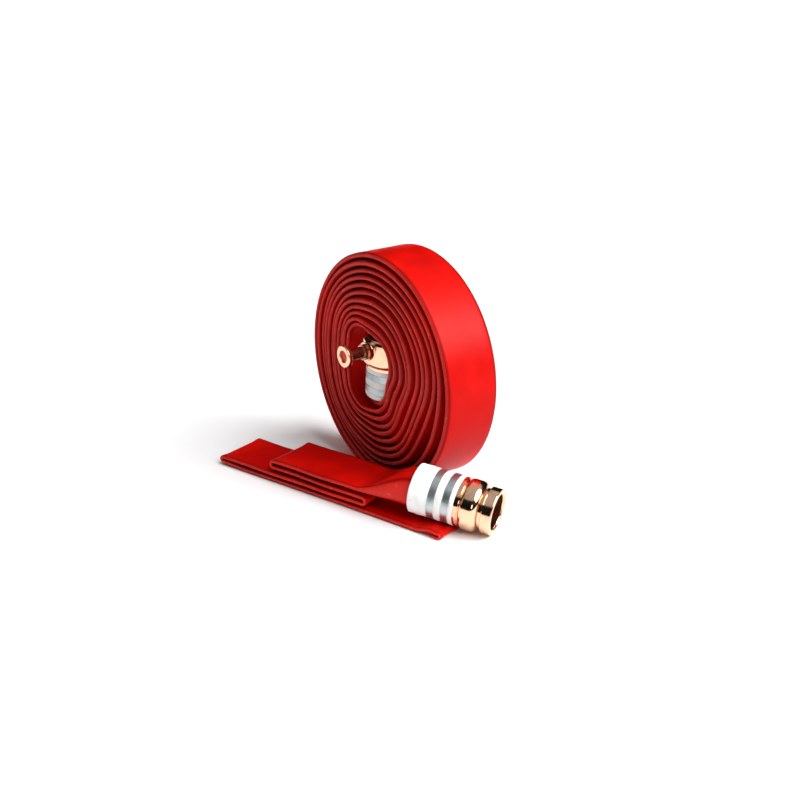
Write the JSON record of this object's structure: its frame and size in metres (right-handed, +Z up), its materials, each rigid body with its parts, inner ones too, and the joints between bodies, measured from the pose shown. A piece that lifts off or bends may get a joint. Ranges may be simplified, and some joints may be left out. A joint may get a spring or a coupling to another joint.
{
  "type": "rolled fire hose",
  "caption": "Red lay-flat fire hose rolled upright, its tail folded in a zigzag to a male coupling; a female coupling with spring plungers sits in the core.",
  "frame": {"origin": "middle of the bottom of the whole object's box, on the surface it stands on", "axes": "+X along the plane of the roll, towards the male coupling; +Y along the axis of the roll, away from the folded tail; +Z up"},
  "size_m": [0.4702, 0.293, 0.344],
  "materials": {
    "hose_cover": "satin",
    "canvas": "matte",
    "band_steel": "satin",
    "gunmetal": "polished",
    "plunger_bronze": "satin",
    "spring_steel": "satin",
    "seal_rubber": "matte"
  },
  "bodies": {
    "hose": {"hose_roll": "hose_cover", "hose_feed_run": "hose_cover", "hose_floor_run": "hose_cover", "hose_lower_run": "hose_cover", "hose_upper_run": "hose_cover", "hose_top_run": "hose_cover", "hose_left_low_fold": "hose_cover", "hose_right_fold": "hose_cover", "hose_left_high_fold": "hose_cover", "hose_male_neck": "hose_cover", "hose_male_end": "hose_cover", "hose_female_end": "hose_cover", "hose_female_neck": "hose_cover", "male_coupling": "gunmetal", "female_coupling": "gunmetal", "female_seal_ring": "seal_rubber", "male_binding_sleeve": "canvas", "male_band_1": "band_steel", "male_band_2": "band_steel", "male_band_buckles": "band_steel", "female_binding_sleeve": "canvas", "female_band_1": "band_steel", "female_band_2": "band_steel", "female_band_buckles": "band_steel", "front_plunger_housing": "gunmetal", "front_plunger_spring": "spring_steel", "rear_plunger_housing": "gunmetal", "rear_plunger_spring": "spring_steel"},
    "front_plunger_unit": {"front_plunger": "plunger_bronze", "front_plunger_knob": "gunmetal", "front_knob_pin": "band_steel"},
    "rear_plunger_unit": {"rear_plunger": "plunger_bronze", "rear_plunger_knob": "gunmetal", "rear_knob_pin": "band_steel"}
  },
  "joints": [
    {"name": "front_plunger_pull", "type": "slide", "parent": "hose", "child": "front_plunger_unit", "axis": [0, -1, 0], "range_m": [0, 0.007], "stiffness_N_per_m": 3500, "springref_m": -0.004, "deforming": ["front_plunger_spring"]},
    {"name": "rear_plunger_pull", "type": "slide", "parent": "hose", "child": "rear_plunger_unit", "axis": [0, 1, 0], "range_m": [0, 0.007], "stiffness_N_per_m": 3500, "springref_m": -0.004, "deforming": ["rear_plunger_spring"]}
  ]
}
